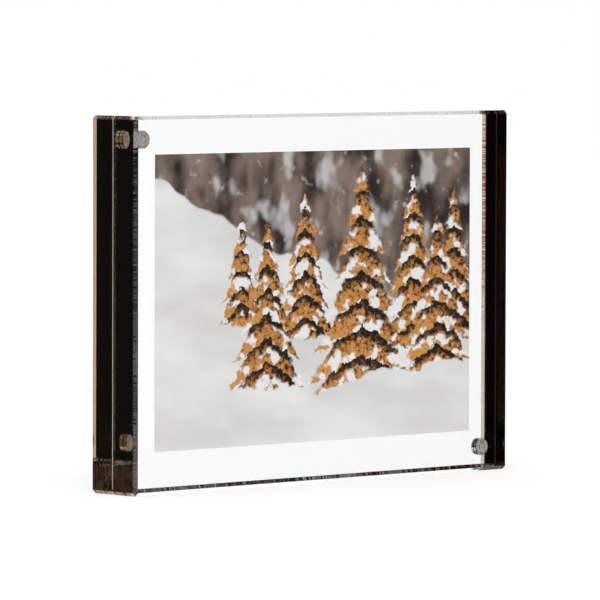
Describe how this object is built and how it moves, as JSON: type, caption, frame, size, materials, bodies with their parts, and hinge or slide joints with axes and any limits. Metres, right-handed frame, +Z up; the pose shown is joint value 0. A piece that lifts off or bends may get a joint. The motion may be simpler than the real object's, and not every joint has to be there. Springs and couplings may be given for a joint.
{
  "type": "magnetic photo frame",
  "caption": "Free-standing photo frame of two thick clear acrylic blocks with smoked ends, held face to face by embedded disc magnets that clamp a print in the seam.",
  "frame": {"origin": "on the surface the frame stands on, under the middle of its width, at the middle of the seam", "axes": "+Z up, +X along the width to the right as seen from the front, -Y out of the front face"},
  "size_m": [0.1778, 0.0225, 0.127],
  "materials": {
    "clear_acrylic": "clear cast acrylic, flame-polished",
    "smoked_acrylic": "dark smoke-brown cast acrylic, polished",
    "nickel": "nickel plating, lightly brushed",
    "cement": "cured clear-milky cement film",
    "photo_paper": "satin photographic paper, colour print on the front"
  },
  "bodies": {
    "rear_half": {"rear_block": "clear_acrylic", "rear_left_end_layer": "smoked_acrylic", "rear_right_end_layer": "smoked_acrylic", "rear_left_magnet": "nickel", "rear_right_magnet": "nickel", "rear_left_cement": "cement", "rear_right_cement": "cement"},
    "front_half": {"front_block": "clear_acrylic", "front_left_end_layer": "smoked_acrylic", "front_right_end_layer": "smoked_acrylic", "front_left_magnet": "nickel", "front_right_magnet": "nickel", "front_left_cement": "cement", "front_right_cement": "cement"},
    "print": {"photo_print": "photo_paper"}
  },
  "joints": [
    {"name": "front_half_pull", "type": "slide", "parent": "rear_half", "child": "front_half", "axis": [0, -1, 0], "range_m": [0, 0.05]},
    {"name": "print_slide", "type": "slide", "parent": "rear_half", "child": "print", "axis": [0, 0, 1], "range_m": [0, 0.11]}
  ]
}
